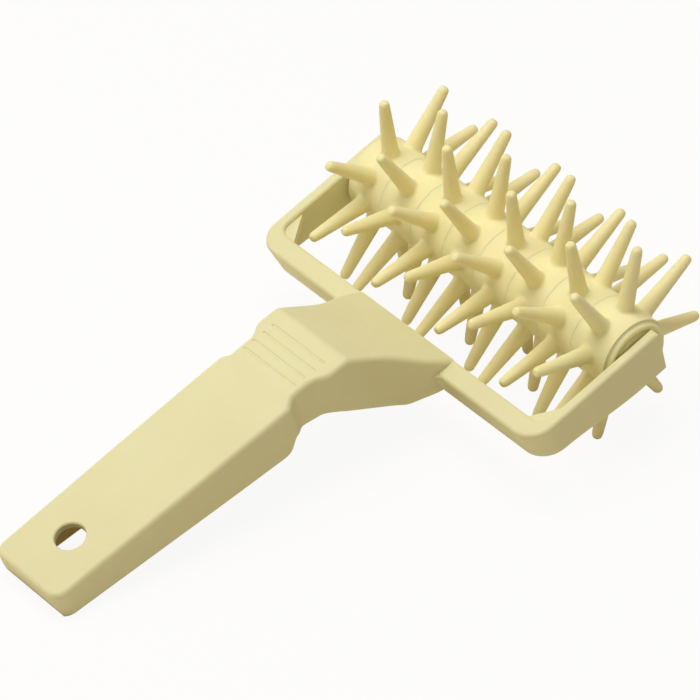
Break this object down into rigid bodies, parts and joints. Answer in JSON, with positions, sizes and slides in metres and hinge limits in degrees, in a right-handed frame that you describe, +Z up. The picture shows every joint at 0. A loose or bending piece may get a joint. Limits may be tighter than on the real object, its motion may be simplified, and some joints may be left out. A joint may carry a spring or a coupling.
{
  "type": "dough docker",
  "caption": "Hand tool for pricking dough: a roller of tapered blunt pins turns between the arms of a yoke with a long flat handle.",
  "frame": {"origin": "on the table, in the middle of the space that the docker takes up when it rests on its pins and the end of its handle", "axes": "+X along the roller from left to right, +Y from the handle to the roller, +Z up from the table"},
  "size_m": [0.1314, 0.2266, 0.0698],
  "materials": {
    "frame_ivory": "satin moulded ivory plastic",
    "disc_ivory": "satin moulded ivory plastic, a little warmer",
    "cap_ivory": "satin moulded ivory plastic",
    "spindle_ivory": "satin moulded ivory plastic"
  },
  "bodies": {
    "frame": {"frame": "frame_ivory"},
    "roller": {"spindle": "spindle_ivory", "pin_disc_1": "disc_ivory", "pin_disc_2": "disc_ivory", "pin_disc_3": "disc_ivory", "pin_disc_4": "disc_ivory", "pin_disc_5": "disc_ivory", "pin_disc_6": "disc_ivory", "pin_disc_7": "disc_ivory", "pin_disc_8": "disc_ivory", "left_end_cap": "cap_ivory", "right_end_cap": "cap_ivory"}
  },
  "joints": [
    {"name": "roller_spin", "type": "hinge", "parent": "frame", "child": "roller", "pos_m": [0, 0.07837, 0.03492], "axis": [1, 0, 0], "continuous": true}
  ]
}
